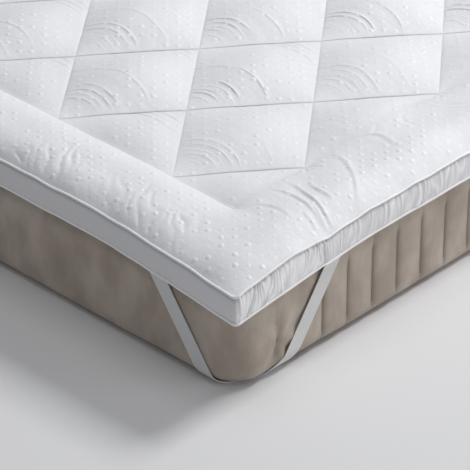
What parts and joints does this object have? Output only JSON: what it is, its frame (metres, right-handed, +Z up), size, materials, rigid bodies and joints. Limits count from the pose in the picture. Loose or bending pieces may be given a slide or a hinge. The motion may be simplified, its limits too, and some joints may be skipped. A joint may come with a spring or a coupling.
{
  "type": "mattress topper on a mattress",
  "caption": "Quilted mattress topper with a gusset, corded seams and elastic corner straps, lying on a plain mattress.",
  "frame": {"origin": "centre of the mattress's underside, on the surface that it stands on", "axes": "+Z up, +Y along the bed from the foot to the head, +X to the right as seen from the foot"},
  "size_m": [1.4096, 2.0092, 0.2504],
  "materials": {
    "quilted_cloth": "soft brushed white microfibre with a raised dot in each repeat",
    "gusset_cloth": "plain white weave, softly gathered",
    "piping_cloth": "smooth white cord cover",
    "elastic": "ribbed woven elastic, pale grey",
    "mattress_cloth": "matt taupe knit"
  },
  "bodies": {
    "root": {"quilted_pad": "quilted_cloth", "gusset_foot": "gusset_cloth", "gusset_head": "gusset_cloth", "gusset_left": "gusset_cloth", "gusset_right": "gusset_cloth", "gusset_right_end": "gusset_cloth", "piping_top": "piping_cloth", "piping_bottom": "piping_cloth", "strap_foot_right": "elastic", "strap_foot_left": "elastic", "strap_head_left": "elastic", "strap_head_right": "elastic", "mattress": "mattress_cloth"}
  },
  "joints": []
}
